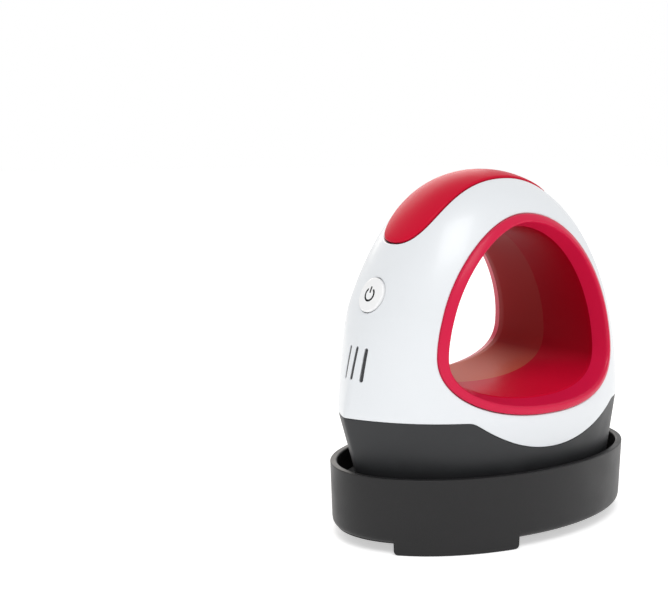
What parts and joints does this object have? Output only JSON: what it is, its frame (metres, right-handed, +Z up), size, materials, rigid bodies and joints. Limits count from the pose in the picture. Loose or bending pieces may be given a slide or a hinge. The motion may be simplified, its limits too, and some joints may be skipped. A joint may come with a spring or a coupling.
{
  "type": "mini heat press",
  "caption": "Handheld mini heat press with a ring-shaped handle opening, a pointed heated sole and a push button, seated in a perforated tray base.",
  "frame": {"origin": "on the ground under the middle of the tray, below the middle of the heating plate", "axes": "+X from the pointed nose to the tail, +Y across, +Z up"},
  "size_m": [0.1212, 0.075, 0.1246],
  "materials": {
    "tray_plastic": "fine-grained charcoal plastic",
    "skirt_plastic": "satin dark grey heat-proof plastic",
    "white_plastic": "glossy moulded white",
    "red_plastic": "glossy moulded crimson",
    "plate_coating": "rose-brown ceramic coating on cast aluminium",
    "steel": "plain",
    "ceramic": "glazed ceramic",
    "gasket_rubber": "matt silicone",
    "black_plastic": "fine-grained",
    "circuit_board": "solder mask",
    "light_guide": "smoked translucent",
    "led_white": "moulded",
    "capacitor_sleeve": "shrink sleeve",
    "terminal_green": "moulded",
    "brass": "plain"
  },
  "bodies": {
    "base_tray": {"base_shell": "tray_plastic", "base_pan": "tray_plastic"},
    "press": {"heating_plate": "plate_coating", "heating_element": "steel", "thermal_fuse": "ceramic", "thermistor": "ceramic", "plate_gasket": "gasket_rubber", "heat_shield": "steel", "skirt": "skirt_plastic", "plate_screws": "steel", "shell_left": "white_plastic", "shell_right": "white_plastic", "shell_screws": "steel", "top_grip": "red_plastic", "ring_left": "red_plastic", "ring_right": "red_plastic", "button_switch": "black_plastic", "control_board": "circuit_board", "light_bars": "light_guide", "light_leds": "led_white", "power_board": "circuit_board", "relay": "black_plastic", "capacitor": "capacitor_sleeve", "terminal_block": "terminal_green", "tilt_switch": "brass", "board_screws": "steel", "cord_gland": "black_plastic"},
    "power_button": {"power_button": "white_plastic"}
  },
  "joints": [
    {"name": "press_lift", "type": "slide", "parent": "base_tray", "child": "press", "axis": [0, 0, 1], "range_m": [0, 0.031]},
    {"name": "button_press", "type": "slide", "parent": "press", "child": "power_button", "axis": [0.9494, 0, -0.314], "range_m": [0, 0.0008], "stiffness_N_per_m": 1200, "springref_m": -0.0004}
  ]
}
